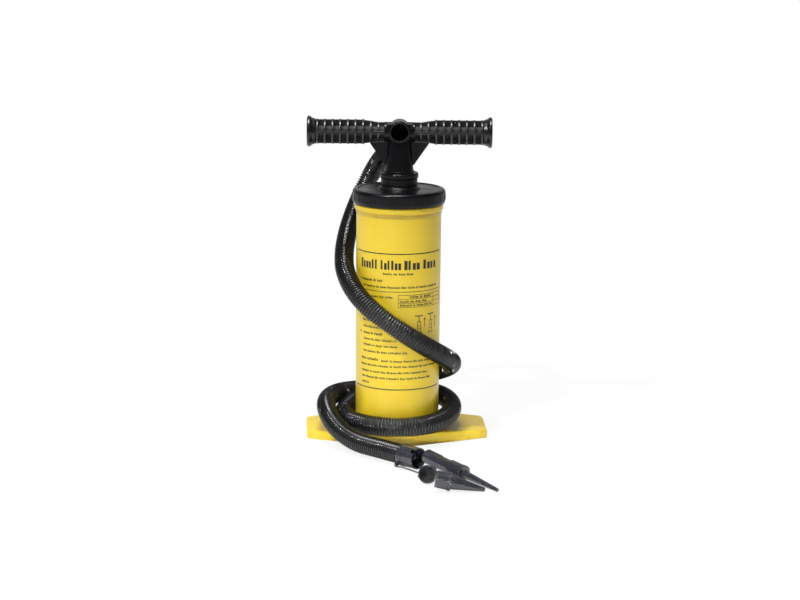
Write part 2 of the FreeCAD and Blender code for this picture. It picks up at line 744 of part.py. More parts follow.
def make_nozzle_long():
    ring = tube(9.4, 8.5, 19.0, 20.6)
    lugs = [box(8.2, 10.4, -1.6, 1.6, 5, 9), box(-10.4, -8.2, -1.6, 1.6, 5, 9)]
    nozzle = union([turned(nozzle_long_outline), ring] + lugs).cut(turned(nozzle_long_hollow))
    return along_line(nozzle, nozzle_long_line)


def make_nozzle_cone():
    lugs = [rod_between(1.8, (0, 10, 10), (0, 13.2, 10)), box(-1.5, 1.5, -13.0, -10, 16, 20)]
    nozzle = union([turned(nozzle_cone_outline)] + lugs).cut(turned(nozzle_cone_hollow))
    return along_line(nozzle, nozzle_cone_line)


def make_valve_adapter():
    nub = rod_between(2.0, (-14.4, 0, 10), (-11.4, 0, 10))
    hole = cyl(3.2, -1, 4, 1.5, 0)
    cup = union([turned(adapter_outline), nub])
    return along_line(cut_all(cup, [turned(adapter_hollow), hole]), adapter_line)


nodes = {
    "barrel": make_barrel(),
    "foot_plate": make_foot_plate(),
    "foot_plate_screws": make_base_screws(),
    "screw_cap": make_screw_cap(),
    "cap_gasket": make_gasket(),
    "rod_collar": make_rod_collar(),
    "collar_nut": make_collar_nut(),
    "rod_bush": make_rod_bush(),
    "rod_seal": make_rod_seal(),
    "handle_hub": make_handle_hub(),
    "grip_left": make_grip(-1),
    "grip_right": make_grip(1),
    "rod_screws": make_rod_screws(),
    "intake_port": make_intake_port(),
    "port_cuff": make_port_cuff(),
    "rod_tube": make_rod_tube(),
    "air_tube": make_air_tube(),
    "air_divider": make_air_divider(),
    "piston_top": make_piston_top(),
    "piston_bottom": make_piston_bottom(),
    "piston_screws": make_piston_screws(),
    "piston_seals": make_piston_seals(),
    "hose": make_hose(),
    "hose_end_cuff": make_tool_cuff(),
    "tether_ring": make_tether_ring(),
    "tether_strap": make_tether_strap(),
    "nozzle_long": make_nozzle_long(),
    "nozzle_cone": make_nozzle_cone(),
    "valve_adapter": make_valve_adapter(),
}
for name, (x, y) in valves.items():
    disc = make_disc()
    disc.translate(V(x, y, disc_rest_z[name]))
    nodes[name] = disc

os.makedirs("parts", exist_ok=True)
for name, shape in nodes.items():
    b = shape.BoundBox
    print(f"{name:20s} solids {len(shape.Solids)} valid {shape.isValid()} volume {shape.Volume:9.0f}"
          f"  x {b.XMin:.1f} {b.XMax:.1f}  y {b.YMin:.1f} {b.YMax:.1f}  z {b.ZMin:.1f} {b.ZMax:.1f}")
    shape.exportStep(f"parts/{name}.step")
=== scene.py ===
import json
import math

import bpy
from mathutils import Matrix, Vector


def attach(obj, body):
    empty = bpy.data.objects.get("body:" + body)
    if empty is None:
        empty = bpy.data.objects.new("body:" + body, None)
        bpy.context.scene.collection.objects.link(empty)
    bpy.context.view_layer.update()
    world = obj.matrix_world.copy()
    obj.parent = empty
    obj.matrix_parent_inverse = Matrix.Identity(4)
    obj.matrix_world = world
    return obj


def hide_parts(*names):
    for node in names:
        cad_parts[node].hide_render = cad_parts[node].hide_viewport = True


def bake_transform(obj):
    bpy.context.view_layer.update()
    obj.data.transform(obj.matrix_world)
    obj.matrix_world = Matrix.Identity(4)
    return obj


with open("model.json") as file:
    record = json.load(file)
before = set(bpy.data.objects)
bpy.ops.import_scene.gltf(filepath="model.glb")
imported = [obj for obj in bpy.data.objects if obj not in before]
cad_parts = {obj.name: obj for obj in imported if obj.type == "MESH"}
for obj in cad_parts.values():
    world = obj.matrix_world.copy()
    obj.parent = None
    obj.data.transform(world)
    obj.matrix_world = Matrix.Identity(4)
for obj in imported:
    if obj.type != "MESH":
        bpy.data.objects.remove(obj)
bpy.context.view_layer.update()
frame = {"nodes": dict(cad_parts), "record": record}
nodes = frame["nodes"]
scene = bpy.context.scene
scene.view_settings.view_transform = "Standard"
print("frame loaded, nodes:", len(nodes))


# helpers for selecting and finishing pieces

def deselectAll():
    bpy.ops.object.select_all(action="DESELECT")


def makeActive(piece):
    deselectAll()
    piece.select_set(True)
    bpy.context.view_layer.objects.active = piece


def finishPiece(piece, name, body, material, smoothAngle):
    makeActive(piece)
    bpy.ops.object.shade_smooth_by_angle(angle=math.radians(smoothAngle))
    piece.name = name
    piece.data.name = name
    piece.data.materials.clear()
    piece.data.materials.append(material)
    if body:  # a blended piece has none of its own
        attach(piece, body)


# camera

view = {"place": (0.0028, -3.385, 0.886), "pitchDown": 11.52, "roll": 0.56, "lens": 110.25, "sensorWidth": 36}
camera = bpy.data.objects.new("camera", bpy.data.cameras.new("camera"))
scene.collection.objects.link(camera)
scene.camera = camera
camera.data.lens = view["lens"]
camera.data.sensor_width = view["sensorWidth"]
tilt = Matrix.Rotation(math.radians(90 - view["pitchDown"]), 3, "X")
camera.rotation_euler = (tilt @ Matrix.Rotation(math.radians(view["roll"]), 3, "Z")).to_euler()
camera.location = view["place"]


# material helpers: a pattern reads the piece's own coordinates, or an attribute of its mesh;
# those that only add nodes take the world too

def shaderOf(material):
    return material.node_tree.nodes["Principled BSDF"]


def newMaterial(name, colour, roughness, **constants):
    material = bpy.data.materials.new(name)
    material.use_nodes = True
    shader = shaderOf(material)
    shader.inputs["Base Color"].default_value = (*colour, 1)
    shader.inputs["Roughness"].default_value = roughness
    for socket, value in constants.items():
        shader.inputs[socket.replace("_", " ")].default_value = value
    return material


def addNode(material, kind, **values):
    node = material.node_tree.nodes.new(kind)
    for key, value in values.items():
        if key in node.inputs:
            node.inputs[key].default_value = value
        else:
            setattr(node, key, value)
    return node


def wire(material, out, into):
    material.node_tree.links.new(out, into)


def compute(material, operation, value, other=0.0):
    node = addNode(material, "ShaderNodeMath", operation=operation)
    for socket, source in zip(node.inputs, (value, other)):
        if isinstance(source, (int, float)):
            socket.default_value = source
        else:
            wire(material, source, socket)
    return node.outputs["Value"]


def multiply(material, a, b):
    return compute(material, "MULTIPLY", a, b)


def spread(material, value, start, full, least, most):
    ranged = addNode(material, "ShaderNodeMapRange")
    wire(material, value, ranged.inputs["Value"])
    for socket, number in zip(("From Min", "From Max", "To Min", "To Max"), (start, full, least, most)):
        ranged.inputs[socket].default_value = number
    return ranged.outputs["Result"]


def placeOn(material, kind="Object"):
    return addNode(material, "ShaderNodeTexCoord").outputs[kind]


def splitPlace(material, kind="Object"):
    split = addNode(material, "ShaderNodeSeparateXYZ")
    wire(material, placeOn(material, kind), split.inputs["Vector"])
    return split.outputs


def reachFrom(material, centre, weights=(1, 1, 1)):  # distance, each direction with its weight
    offset = tuple(-place * weight for place, weight in zip(centre, weights))
    moved = addNode(material, "ShaderNodeMapping", Location=offset, Scale=weights)
    wire(material, placeOn(material), moved.inputs["Vector"])
    reach = addNode(material, "ShaderNodeVectorMath", operation="LENGTH")
    wire(material, moved.outputs["Vector"], reach.inputs[0])
    return reach.outputs["Value"]


def noiseOn(material, scale, detail, stretch=(1, 1, 1), attribute=None):
    mapping = addNode(material, "ShaderNodeMapping", Scale=stretch)
    if attribute:
        place = addNode(material, "ShaderNodeAttribute", attribute_name=attribute).outputs["Vector"]
    else:
        place = placeOn(material)
    wire(material, place, mapping.inputs["Vector"])
    noise = addNode(material, "ShaderNodeTexNoise", Scale=scale, Detail=detail)
    wire(material, mapping.outputs["Vector"], noise.inputs["Vector"])
    return noise.outputs["Fac"]


# a pattern is its noise, the values where it starts and is full, and the amounts there

def patternOn(material, pattern, stretch=(1, 1, 1), attribute=None):
    scale, detail, start, full, least, most = pattern
    return spread(material, noiseOn(material, scale, detail, stretch, attribute), start, full, least, most)


def mixTint(material, factor, under, over):
    mix = addNode(material, "ShaderNodeMix", data_type="RGBA")
    wire(material, factor, mix.inputs[0])
    for socket, tint in ((mix.inputs[6], under), (mix.inputs[7], over)):
        if isinstance(tint, tuple):
            socket.default_value = (*tint, 1)
        else:
            wire(material, tint, socket)
    return mix.outputs[2]


def roundedNormal(material, radius):
    return addNode(material, "ShaderNodeBevel", samples=4, Radius=radius).outputs["Normal"]


edgeTurn = {"sharp": 0.80, "flat": 0.97}  # cosines between a rounded normal and the true one


def edgesOf(material, radius):
    dot = addNode(material, "ShaderNodeVectorMath", operation="DOT_PRODUCT")
    wire(material, roundedNormal(material, radius), dot.inputs[0])
    wire(material, addNode(material, "ShaderNodeNewGeometry").outputs["Normal"], dot.inputs[1])
    return spread(material, dot.outputs["Value"], edgeTurn["sharp"], edgeTurn["flat"], 1.0, 0.0)


def setTint(material, tint):
    wire(material, tint, shaderOf(material).inputs["Base Color"])


def setRoughness(material, roughness):
    wire(material, roughness, shaderOf(material).inputs["Roughness"])


def setGrain(material, grain, edgeRadius=0, attribute=None):
    scale, detail, strength, depth = grain  # noise, bump strength, depth in metres
    bump = addNode(material, "ShaderNodeBump", Strength=strength, Distance=depth)
    wire(material, noiseOn(material, scale, detail, attribute=attribute), bump.inputs["Height"])
    if edgeRadius:
        wire(material, roundedNormal(material, edgeRadius), bump.inputs["Normal"])
    wire(material, bump.outputs["Normal"], shaderOf(material).inputs["Normal"])


plasticIor = 1.5


# yellow moulded plastic: a little colour drift, orange peel, scuffs, grime at the foot, and a painted shadow
# band under the bead below the cap

yellow = {
    "tint": (0.90, 0.66, 0.030), "deep": (0.86, 0.60, 0.022), "scuff": (0.92, 0.74, 0.20),
    "grime": (0.30, 0.21, 0.06), "rim": (0.44, 0.28, 0.035), "roughness": 0.30, "coat": 0.15,
    "drift": (7, 2, 0.35, 0.7, 0.0, 1.0),
    "scratches": (60, 6, 0.66, 0.72, 0.0, 0.35), "scratchStretch": (1, 1, 0.08),
    "scuffPatches": (14, 3, 0.5, 0.62, 0.0, 1.0),
    "footHeights": (0.0, 0.02, 0.5, 0.0), "footSpecks": (55, 5, 0.48, 0.75, 0.0, 1.0),  # heights, amounts
    # painted shadow: a ragged brown band on the wall under the bead below the cap, with its breakup
    "rimStarts": (0.3195, 0.3225, 0.0, 1.0), "rimEnds": (0.3262, 0.3272, 1.0, 0.0),
    "rimDirt": (45, 3, 0.25, 0.6, 0.35, 0.75), "rimStretch": (1, 1, 0.3),
    "gloss": (22, 4, 0.3, 0.7, 0.25, 0.42), "peel": (420, 2, 0.06, 0.0004), "edgeRadius": 0.0012,
}


def makeYellow():
    m = newMaterial("yellowPlastic", yellow["tint"], yellow["roughness"], IOR=plasticIor,
                    Coat_Weight=yellow["coat"])
    height = splitPlace(m)["Z"]
    tint = mixTint(m, patternOn(m, yellow["drift"]), yellow["tint"], yellow["deep"])
    scuffs = multiply(m, patternOn(m, yellow["scratches"], yellow["scratchStretch"]),
                      patternOn(m, yellow["scuffPatches"]))
    tint = mixTint(m, scuffs, tint, yellow["scuff"])
    foot = multiply(m, spread(m, height, *yellow["footHeights"]), patternOn(m, yellow["footSpecks"]))
    tint = mixTint(m, foot, tint, yellow["grime"])
    # painted shadow under the bead below the cap
    rim = multiply(m, spread(m, height, *yellow["rimStarts"]), spread(m, height, *yellow["rimEnds"]))
    rim = multiply(m, rim, patternOn(m, yellow["rimDirt"], yellow["rimStretch"]))
    setTint(m, mixTint(m, rim, tint, yellow["rim"]))
    setRoughness(m, patternOn(m, yellow["gloss"]))
    setGrain(m, yellow["peel"], yellow["edgeRadius"])
    return m


# black moulded plastics and rubber: satin, faint dust, and paler edges that are partly wear and partly a
# painted edge highlight

blackFinishes = {  # tint, pale tint for dust, edge wear and painted edge highlight, roughness, shine
    "blackPlastic": ((0.0032, 0.0036, 0.0046), (0.020, 0.021, 0.025), 0.25, 0.22),
    "hubPlastic": ((0.0032, 0.0036, 0.0046), (0.020, 0.021, 0.025), 0.25, 0.22),
    "portPlastic": ((0.009, 0.0095, 0.0115), (0.05, 0.052, 0.060), 0.25, 0.22),
    "cuffPlastic": ((0.026, 0.028, 0.036), (0.13, 0.134, 0.15), 0.22, 0.80),
    "nozzlePlastic": ((0.022, 0.024, 0.032), (0.14, 0.145, 0.165), 0.18, 1.0),
    "adapterPlastic": ((0.040, 0.042, 0.045), (0.20, 0.20, 0.21), 0.13, 1.0),
    "strapPlastic": ((0.085, 0.088, 0.096), (0.24, 0.245, 0.26), 0.24, 0.80),
    "sealRubber": ((0.020, 0.020, 0.020), (0.06, 0.06, 0.06), 0.70, 0.30),
}
blackWear = {
    "dust": (30, 6, 0.52, 0.8, 0.0, 0.22), "rubAndSheen": (90, 4, 0.42, 0.62, 0.0, 0.55), "edgeRadius": 0.0006,
    "gloss": (45, 4, 0.3, 0.7), "glossier": 0.06, "duller": 0.10,
    "grain": (700, 3, 0.08, 0.0003), "rubberGrain": (500, 3, 0.08, 0.0003),
}


def makeBlack(name, grain=blackWear["grain"]):
    tint, paleDustAndEdgeSheen, roughness, shine = blackFinishes[name]
    m = newMaterial(name, tint, roughness, IOR=plasticIor, Specular_IOR_Level=shine)
    dusty = mixTint(m, patternOn(m, blackWear["dust"]), tint, paleDustAndEdgeSheen)
    # paler edges: edge wear and a painted edge highlight
    wornAndLitEdges = multiply(m, edgesOf(m, blackWear["edgeRadius"]), patternOn(m, blackWear["rubAndSheen"]))
    setTint(m, mixTint(m, wornAndLitEdges, dusty, paleDustAndEdgeSheen))
    glossRange = (roughness - blackWear["glossier"], roughness + blackWear["duller"])
    setRoughness(m, patternOn(m, blackWear["gloss"] + glossRange))
    setGrain(m, grain, blackWear["edgeRadius"])
    return m


# the hub and the port: the same black with an even gloss, with painted shade darkening the inside of the
# intake hole, which is also dull

# the intake bore's place, and the near-black tint of its painted shade
intake = {"centre": (0, -0.0084, 0.4364), "weights": (1, 0.5, 1), "wall": (0.0136, 0.0141, 1.0, 0.0),
          "tint": (0.0002, 0.0002, 0.0002), "gloss": (0.24, 1.0)}  # roughness outside, inside


def makeIntakePlastic(name):
    m = makeBlack(name)
    outside = shaderOf(m).inputs["Base Color"].links[0].from_socket
    # painted shade: the inside of the intake bore turns near black
    inside = spread(m, reachFrom(m, intake["centre"], intake["weights"]), *intake["wall"])
    setTint(m, mixTint(m, inside, outside, intake["tint"]))
    setRoughness(m, spread(m, inside, 0.0, 1.0, *intake["gloss"]))
    return m


# grip plastic: ribs painted paler as a painted sheen, and the pockets between them painted near black as
# painted shade

grip = {
    # painted: the pockets' tint is painted shade and the ribs' tint a painted sheen
    "pocketShade": (0.0010, 0.0011, 0.0014), "rib": (0.026, 0.028, 0.034), "web": (0.0035, 0.0038, 0.0046),
    "end": (0.0022, 0.0024, 0.0030), "dust": (0.12, 0.124, 0.135), "roughness": 0.32, "shine": 0.60,
    "axisHeight": 0.4346, "narrow": (0.028, 0.0132), "full": (0.0506, 0.0175),  # distance out, radius
    "endFace": (0.1165, 0.1175), "firstRib": 0.0188, "ribPitch": 0.01062, "ribHalf": (0.14, 0.18),
    "surface": (0.952, 0.985), "rubAndSheen": (40, 4, 0.30, 0.65, 0.45, 1.0), "dusting": (60, 5, 0.55, 0.8, 0.0, 0.2),
    "gloss": (0.70, 0.29), "grain": (800, 3, 0.08, 0.0003), "edgeRadius": 0.0008,  # roughness in, out
}


def makeGripPlastic():
    m = newMaterial("gripPlastic", grip["rib"], grip["roughness"], IOR=plasticIor,
                    Specular_IOR_Level=grip["shine"])
    outward = compute(m, "ABSOLUTE", splitPlace(m)["X"])
    (nearX, nearRadius), (farX, farRadius) = grip["narrow"], grip["full"]
    skin = spread(m, outward, nearX, farX, nearRadius, farRadius)
    fromAxis = reachFrom(m, (0, 0, grip["axisHeight"]), (0, 1, 1))
    high = spread(m, compute(m, "DIVIDE", fromAxis, skin), *grip["surface"], 0.0, 1.0)
    atEnd = spread(m, outward, *grip["endFace"], 0.0, 1.0)
    pitches = compute(m, "DIVIDE", compute(m, "SUBTRACT", outward, grip["firstRib"]), grip["ribPitch"])
    share = compute(m, "FRACT", compute(m, "ADD", pitches, 0.5))
    fromRib = compute(m, "ABSOLUTE", compute(m, "SUBTRACT", share, 0.5))  # pitches from a rib's middle
    # painted sheen on the ribs and painted shade in the pockets, broken up by a noise pattern
    ribTint = mixTint(m, spread(m, fromRib, *grip["ribHalf"], 0.0, 1.0), grip["rib"], grip["web"])
    tint = mixTint(m, multiply(m, high, patternOn(m, grip["rubAndSheen"])), grip["pocketShade"], ribTint)
    tint = mixTint(m, atEnd, tint, grip["end"])
    setTint(m, mixTint(m, multiply(m, patternOn(m, grip["dusting"]), high), tint, grip["dust"]))
    setRoughness(m, spread(m, high, 0.0, 1.0, *grip["gloss"]))
    setGrain(m, grip["grain"], grip["edgeRadius"])
    return m


# hose plastic: painted shade darkens the grooves, and the crests are paler and glossy

hoseFinish = {
    "groove": (0.0008, 0.0009, 0.0012), "crest": (0.0035, 0.0038, 0.0050), "dust": (0.032, 0.033, 0.036),
    "roughness": 0.15, "grooveRoughness": 0.75, "glossyFrom": 0.8, "shine": 1.0,
    "dusting": (35, 5, 0.55, 0.85, 0.0, 0.25), "grain": (900, 3, 0.05, 0.0002),
}


def makeHosePlastic():
    m = newMaterial("hosePlastic", hoseFinish["crest"], hoseFinish["roughness"], IOR=plasticIor,
                    Specular_IOR_Level=hoseFinish["shine"])
    crest = addNode(m, "ShaderNodeAttribute", attribute_name="crest").outputs["Fac"]
    # painted shade: the grooves darker than the crests
    tint = mixTint(m, crest, hoseFinish["groove"], hoseFinish["crest"])
    dust = multiply(m, patternOn(m, hoseFinish["dusting"], attribute="restPlace"), crest)
    setTint(m, mixTint(m, dust, tint, hoseFinish["dust"]))
    setRoughness(m, spread(m, crest, 0.0, hoseFinish["glossyFrom"], hoseFinish["grooveRoughness"],
                           hoseFinish["roughness"]))
    setGrain(m, hoseFinish["grain"], attribute="restPlace")
    return m


# pale plastic of the inner parts, a little yellowed

inner = {"tint": (0.55, 0.56, 0.54), "aged": (0.42, 0.42, 0.39), "roughness": 0.42,
         "ageing": (25, 3, 0.4, 0.7, 0.0, 0.6), "grain": (500, 3, 0.06, 0.0003)}


def makeInnerPlastic():
    m = newMaterial("innerPlastic", inner["tint"], inner["roughness"])
    setTint(m, mixTint(m, patternOn(m, inner["ageing"]), inner["tint"], inner["aged"]))
    setGrain(m, inner["grain"])
    return m


# turned steel of the screws

screw = {"tint": (0.60, 0.60, 0.61), "roughness": 0.32, "turning": (300, 4, 0.3, 0.7, 0.24, 0.5),
         "turningStretch": (1, 1, 12), "grain": (900, 3, 0.1, 0.0002)}


def makeScrewSteel():
    m = newMaterial("screwSteel", screw["tint"], screw["roughness"], Metallic=1.0)
    setRoughness(m, patternOn(m, screw["turning"], screw["turningStretch"]))
    setGrain(m, screw["grain"])
    return m


# printing ink, thin in places so that the yellow shows

ink = {"tint": (0.024, 0.018, 0.010), "thin": (0.09, 0.07, 0.02), "roughness": 0.5,
       "thinning": (260, 4, 0.5, 0.75, 0.0, 0.5)}


def makePrintInk():
    m = newMaterial("printInk", ink["tint"], ink["roughness"])
    setTint(m, mixTint(m, patternOn(m, ink["thinning"]), ink["tint"], ink["thin"]))
    return m


hosePlastic = makeHosePlastic()
printInk = makePrintInk()
gripPlastic = makeGripPlastic()
cuffPlastic = makeBlack("cuffPlastic")
slotMaterials = {
    "yellow_plastic": makeYellow(), "black_plastic": makeBlack("blackPlastic"), "hose_plastic": hosePlastic,
    "nozzle_plastic": makeBlack("nozzlePlastic"), "inner_plastic": makeInnerPlastic(),
    "seal_rubber": makeBlack("sealRubber", blackWear["rubberGrain"]), "screw_steel": makeScrewSteel(),
    "print_ink": printInk,
}
nodeMaterials = {  # nodes whose finish differs from their slot's
    "grip_left": gripPlastic, "grip_right": gripPlastic, "handle_hub": makeIntakePlastic("hubPlastic"),
    "intake_port": makeIntakePlastic("portPlastic"), "hose_end_cuff": cuffPlastic, "tether_ring": cuffPlastic,
    "tether_strap": makeBlack("strapPlastic"), "valve_adapter": makeBlack("adapterPlastic"),
}
for part in frame["record"]["subparts"]:
    node = nodes[part["node"]]
    node.data.materials.clear()
    node.data.materials.append(nodeMaterials.get(part["node"], slotMaterials[part["material_slot"]]))
print("materials made")


# air hose: a ribbed tube that follows one smooth spline

hose = {
    "radius": 0.01375, "sides": 28, "ridgePitch": 0.0038, "ridgeDepth": 0.0020, "smoothAngle": 36,
    "ridge": ((0.0, 0.16), (0.11, 0.03), (0.20, 0.0), (0.29, 0.03), (0.40, 0.16), (0.47, 1.0), (0.93, 1.0)),
    "splineSteps": 24,
    "route": [  # millimetres, from the handle hub to the end cuff
        (0, 48.6, 423.4), (0, 89, 412.4), (-14, 129, 395), (-36, 154, 362), (-56, 149, 322),
        (-68, 120, 293), (-74, 82, 276), (-77.5, 36, 258), (-75.5, -16, 238), (-55, -61, 210),
        (-14, -81, 180), (30, -76, 151), (66, -46, 125), (80.5, 2, 105), (67, 46, 86),
        (27, 74, 70), (-20, 77.5, 54), (-59, 53, 40), (-77.5, 9, 31.8), (-71.5, -36, 31),
        (-38, -71, 31), (6, -80.5, 31), (48, -66, 32), (75, -30, 37.5), (80, 14, 43),
        (64, 59, 46), (31, 93, 44.5), (-15, 106, 43), (-58, 91, 44), (-87, 58, 47.5),
        (-101, 14, 48), (-99.5, -32, 42), (-83.5, -72, 27), (-57, -103, 16), (-27, -131, 15.8),
        (12.4, -169.7, 15.8),
    ],
}


def smoothLine(route):
    curve = bpy.data.curves.new("hoseLine", "CURVE")
    curve.dimensions = "3D"
    curve.resolution_u = hose["splineSteps"]
    spline = curve.splines.new("NURBS")
    spline.points.add(len(route) - 1)
    for point, (x, y, z) in zip(spline.points, route):
        point.co = (x / 1000, y / 1000, z / 1000, 1)
    spline.order_u = 3
    spline.use_endpoint_u = True
    guide = bpy.data.objects.new("hoseLine", curve)
    scene.collection.objects.link(guide)
    bpy.context.view_layer.update()
    mesh = bpy.data.meshes.new_from_object(guide)
    line = [vertex.co.copy() for vertex in mesh.vertices]
    bpy.data.objects.remove(guide)
    bpy.data.meshes.remove(mesh)
    return line


def stationsAlong(line, distances):  # place and direction at each distance
    stations = []
    index, walked = 0, 0.0
    step = (line[1] - line[0]).length
    for distance in distances:
        while walked + step < distance and index < len(line) - 2:
            walked += step
            index += 1
            step = (line[index + 1] - line[index]).length
        share = (distance - walked) / step
        stations.append((line[index].lerp(line[index + 1], share), line[index + 1] - line[index]))
    return stations


def ringsAlong(length):  # distance and share of the ridge's depth, ring by ring
    ridges = round(length / hose["ridgePitch"])
    pitch = length / ridges
    rings = [((k + along) * pitch, sunk) for k in range(ridges) for along, sunk in hose["ridge"]]
    rings.append((length, 1.0))
    return rings


def makeHose():
    line = smoothLine(hose["route"])
    length = sum((b - a).length for a, b in zip(line, line[1:]))
    rings = ringsAlong(length)
    sides = hose["sides"]
    vertices, crests, across = [], [], Vector((1, 0, 0))
    for (place, way), (distance, sunk) in zip(stationsAlong(line, [ring[0] for ring in rings]), rings):
        radius = hose["radius"] - hose["ridgeDepth"] * sunk
        crests += [1.0 - sunk] * sides
        way.normalize()
        across = (across - way * across.dot(way)).normalized()
        other = way.cross(across)
        for k in range(sides):
            turn = 2 * math.pi * k / sides
            vertices.append(place + (across * math.cos(turn) + other * math.sin(turn)) * radius)
    faces = []
    for r in range(len(rings) - 1):
        for k in range(sides):
            a, b = r * sides + k, r * sides + (k + 1) % sides
            faces.append((a, b, b + sides, a + sides))
    last = (len(rings) - 1) * sides
    faces.append(tuple(reversed(range(sides))))
    faces.append(tuple(range(last, last + sides)))
    mesh = bpy.data.meshes.new("airHose")
    mesh.from_pydata(vertices, [], faces)
    rest = mesh.attributes.new("restPlace", "FLOAT_VECTOR", "POINT")
    rest.data.foreach_set("vector", [number for vertex in vertices for number in vertex])
    mesh.attributes.new("crest", "FLOAT", "POINT").data.foreach_set("value", crests)
    piece = bpy.data.objects.new("airHose", mesh)
    scene.collection.objects.link(piece)
    finishPiece(piece, "airHose", None, hosePlastic, hose["smoothAngle"])
    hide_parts("hose")
    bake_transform(piece)
    print("hose made, metres:", round(length, 3))


makeHose()


# print on the barrel: rules, a table and plain blocks in place of type, laid out flat and then wrapped round;
# flat measures are in millimetres, those of the wall in metres

label = {
    "clear": 0.0001, "thickness": 0.00016, "cutEvery": 0.004, "reach": 0.076, "smoothAngle": 20,
    "wallLow": (0.006, 0.0589), "wallHigh": (0.322, 0.0595),  # height, radius
    "rules": [(272.3, 1.4, -76, 76), (219.1, 0.8, -66, 75), (79.8, 1.4, -76, 76)],  # height, thick, ends
    "heading": {"bottom": 250.2, "tall": 13.0, "step": 5,
                "words": [(-60.9, -28.8, 6), (-25.1, 4.9, 6), (8.2, 32.4, 4), (37.1, 63.6, 4)]},
    "lines": [  # height of the middle, type height, start, end, bold
        (244.5, 3.4, -21.4, 22, False), (234, 3.4, -57.4, -20.1, True), (225.5, 3.2, -57, 68.4, False),
        (211.5, 3.2, -57, -4.6, False), (211.9, 3.6, 16.6, 53.3, True), (205.7, 3.0, 3.2, 43.6, True),
        (200.2, 3.0, 3.2, 55.4, True), (176.5, 3.2, -56.4, 12, False), (167.3, 3.2, -55.3, -20, False),
        (158, 3.4, -55, -20.5, True), (149.6, 3.2, -54, 1.9, False), (141.3, 3.2, -55, 0.8, False),
        (132.4, 3.2, -55, 16.7, False), (121.5, 3.4, -59, -26.5, True), (120.6, 3.2, -23, 59, False),
        (112.9, 3.2, -60, 63.9, False), (104, 3.2, -58.8, 48.8, False), (95.8, 3.2, -57.6, 53.5, False),
        (87.6, 3.2, -57.5, -43, False),
    ],
    "bullets": [(-61.5, 234), (-61.7, 158.4)], "bulletWide": 2.6,
    "table": {"left": 0.4, "right": 75.6, "columns": [57], "heights": [197.2, 203, 209, 214.6],
              "halfLine": 0.3},
    "wordLengths": [7, 3, 5, 9, 2, 6, 4, 8, 3, 5, 10, 4, 6, 2, 7],
    "blockKinds": [  # left, right and height as shares
        (0, 0.80, 0.72), (0, 0.56, 1), (0.04, 0.84, 0.72), (0, 0.68, 0.72), (0.06, 0.72, 1),
        (0, 0.86, 0.72), (0.02, 0.78, 0.72),
    ],
    "blockWide": 0.93, "boldPitch": 0.62, "plainPitch": 0.56, "plainTall": 0.9, "wordGap": 0.9,
    "pumps": [(31, 160, 25), (52, 159, 27)], "arrows": [(40.5, 168, 13), (62.5, 166, 15)],  # x, base, tall
}
pumpSign = {  # half widths and line thicknesses, with lidAt and barsAt as shares of the height
    "handle": (6.4, 1.4), "rod": 0.5, "lid": (2.9, 0.8), "lidAt": 0.62,
    "walls": (2.6, 0.35),  # out from the middle, half width
    "foot": (5.2, 1), "bars": (1.6, 0.8), "barsAt": (0.22, 0.38),
}
arrowSign = {"shaft": 0.45, "shaftEnd": 2.65, "headMiddle": 1.6, "headRadius": 2.1}
facing = (math.radians(90), 0, 0)


def addMark(left, right, bottom, top):
    centre = ((left + right) / 2000, 0, (bottom + top) / 2000)
    bpy.ops.mesh.primitive_plane_add(size=1, location=centre, rotation=facing)
    bpy.ops.transform.resize(value=((right - left) / 1000, 1, (top - bottom) / 1000))


def addWord(start, end, blocks, bottom, tall, first):
    pitch = (end - start) / blocks
    wide = pitch * label["blockWide"]
    kinds = label["blockKinds"]
    for k in range(blocks):
        left, right, height = kinds[(first * 3 + k * 5 + k * k) % len(kinds)]  # an uneven order
        here = start + k * pitch
        top = bottom + tall * (height if k else 1)  # the first block is full height
        addMark(here + wide * left, here + wide * right, bottom, top)


def addTypeLine(middle, tall, start, end, bold, row):
    pitch = tall * label["boldPitch" if bold else "plainPitch"]
    blockTall = tall if bold else tall * label["plainTall"]
    lengths = label["wordLengths"]
    here, count = start, row * 3
    while here < end - 2 * pitch:
        blocks = max(2, min(lengths[count % len(lengths)], int((end - here) / pitch)))
        addWord(here, here + blocks * pitch, blocks, middle - tall / 2, blockTall, count)
        here += (blocks + label["wordGap"]) * pitch
        count += 1


def addPumpSign(x, base, tall):
    (handle, handleThick), (lid, lidThick) = pumpSign["handle"], pumpSign["lid"]
    (walls, halfWall), (foot, footThick), (bars, barThick) = (pumpSign[k] for k in ("walls", "foot", "bars"))
    top, lidUnder = base + tall, base + tall * pumpSign["lidAt"]
    addMark(x - handle, x + handle, top - handleThick, top)
    addMark(x - pumpSign["rod"], x + pumpSign["rod"], lidUnder + lidThick, top - handleThick)
    for wall in (x - walls, x + walls):
        addMark(wall - halfWall, wall + halfWall, base + footThick, lidUnder)
    addMark(x - lid, x + lid, lidUnder, lidUnder + lidThick)
    addMark(x - foot, x + foot, base, base + footThick)
    for share in pumpSign["barsAt"]:
        addMark(x - bars, x + bars, base + tall * share, base + tall * share + barThick)


def addArrow(x, base, tall):
    addMark(x - arrowSign["shaft"], x + arrowSign["shaft"], base, base + tall - arrowSign["shaftEnd"])
    bpy.ops.mesh.primitive_circle_add(vertices=3, radius=arrowSign["headRadius"] / 1000, fill_type="NGON",
                                      location=(x / 1000, 0, (base + tall - arrowSign["headMiddle"]) / 1000),
                                      rotation=facing)


def addTable():
    table = label["table"]
    left, right, half = table["left"], table["right"], table["halfLine"]
    for z in table["heights"]:
        addMark(left - half, right + half, z - half, z + half)
    for low, high in zip(table["heights"], table["heights"][1:]):
        for x in [left, right] + table["columns"]:
            addMark(x - half, x + half, low + half, high - half)


